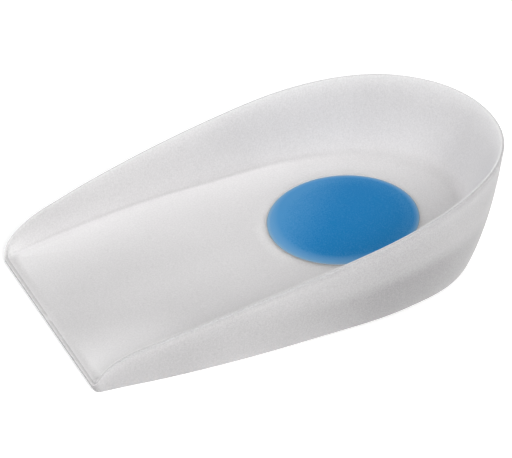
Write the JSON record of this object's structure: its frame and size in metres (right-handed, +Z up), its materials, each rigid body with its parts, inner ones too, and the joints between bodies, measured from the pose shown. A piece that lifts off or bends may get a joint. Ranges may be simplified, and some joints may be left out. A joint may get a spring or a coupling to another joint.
{
  "type": "heel cup",
  "caption": "Soft moulded heel cup, open at the front, with rising side walls, a deep rounded heel and a round gel spot under the heel.",
  "frame": {"origin": "on the ground under the middle of the cup's length and width, at the flat sole", "axes": "+Y from the open front edge to the heel along the length, +X across the foot, +Z up from the sole to the rim"},
  "size_m": [0.0676, 0.11, 0.0273],
  "materials": {
    "clear_silicone": "satin moulded translucent silicone, milky, faint fine grain",
    "blue_gel": "satin soft blue silicone gel"
  },
  "bodies": {
    "root": {"cup_body": "clear_silicone", "heel_plug": "blue_gel"}
  },
  "joints": []
}
